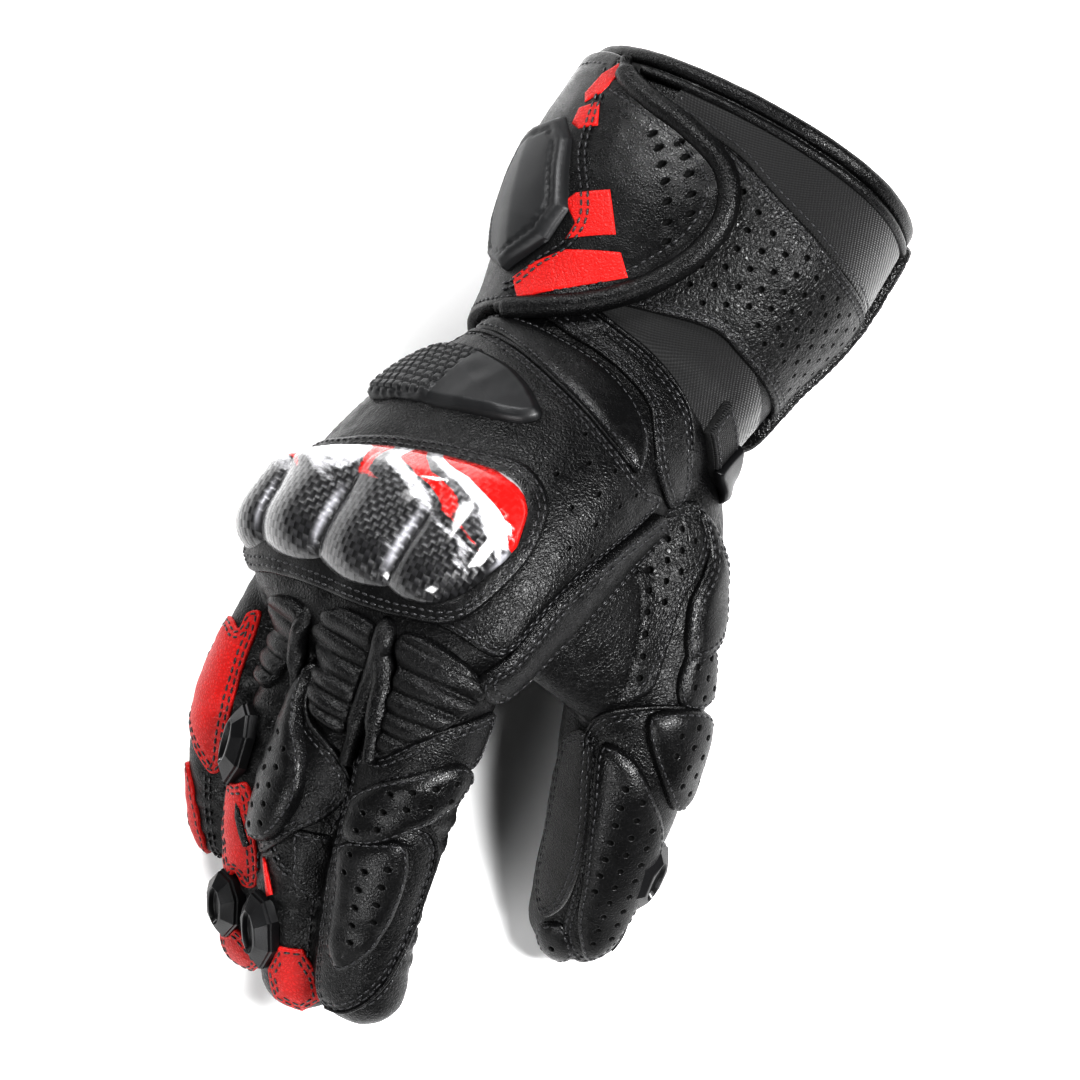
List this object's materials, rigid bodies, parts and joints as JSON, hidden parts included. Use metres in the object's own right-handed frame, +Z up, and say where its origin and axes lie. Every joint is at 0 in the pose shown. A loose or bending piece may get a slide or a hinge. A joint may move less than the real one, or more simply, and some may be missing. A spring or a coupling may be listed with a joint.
{
  "type": "motorcycle glove",
  "caption": "Long-cuffed motorcycle race glove with a hard carbon knuckle guard, padded fingers and a closing cuff flap.",
  "frame": {"origin": "centre of the bounding box's bottom, on the surface that the glove lies on", "axes": "+Y towards the cuff, +X towards the thumb, +Z up as the glove lies back of hand up"},
  "size_m": [0.191, 0.2876, 0.1128],
  "materials": {
    "leather": "soft black full-grain leather, satin",
    "perforated_leather": "black pebble-grain leather with small punched holes",
    "knit": "matte black stretch knit",
    "suede": "matte black suede",
    "moulded_rubber": "matte dark grey moulded rubber",
    "red_leather": "bright red leather with a dark dash print",
    "carbon": "glossy woven carbon shell with red and white paint",
    "webbing": "ribbed black nylon webbing"
  },
  "bodies": {
    "root": {"cuff_sleeve": "leather", "hand_back": "leather", "palm": "leather", "thumb": "leather", "index_finger": "leather", "middle_finger": "leather", "ring_finger": "leather", "little_finger": "leather", "rim_binding": "leather", "cuff_band": "leather", "flap_piping": "leather", "wrist_panel": "leather", "wrist_leaf": "leather", "guard_rim": "leather", "radial_strip": "leather", "ribs_index": "leather", "ribs_middle": "leather", "ribs_ring": "leather", "welt_near": "leather", "welt_far": "leather", "index_band": "leather", "thumb_heel_pad": "leather", "cuff_panel": "perforated_leather", "cuff_underlap": "perforated_leather", "cuff_flap": "perforated_leather", "index_pad_near": "perforated_leather", "index_pad_far": "perforated_leather", "middle_pad": "perforated_leather", "thumb_base_panel": "perforated_leather", "thumb_outer_pad": "perforated_leather", "thumb_bulge_pad": "perforated_leather", "thumb_long_pad": "perforated_leather", "thumb_tip_pad": "perforated_leather", "wrist_stretch": "knit", "palm_heel_patch": "suede", "palm_grip_patch": "suede", "thumb_grip": "suede", "cuff_plate": "moulded_rubber", "back_plate": "moulded_rubber", "strap_tab": "moulded_rubber", "middle_slider": "moulded_rubber", "ring_slider_near": "moulded_rubber", "ring_slider_far": "moulded_rubber", "thumb_slider": "moulded_rubber", "middle_tip": "red_leather", "ring_overlay": "red_leather", "ring_tip": "red_leather", "little_overlay": "red_leather", "little_trim": "red_leather", "knuckle_guard": "carbon", "wrist_strap": "webbing"}
  },
  "joints": []
}
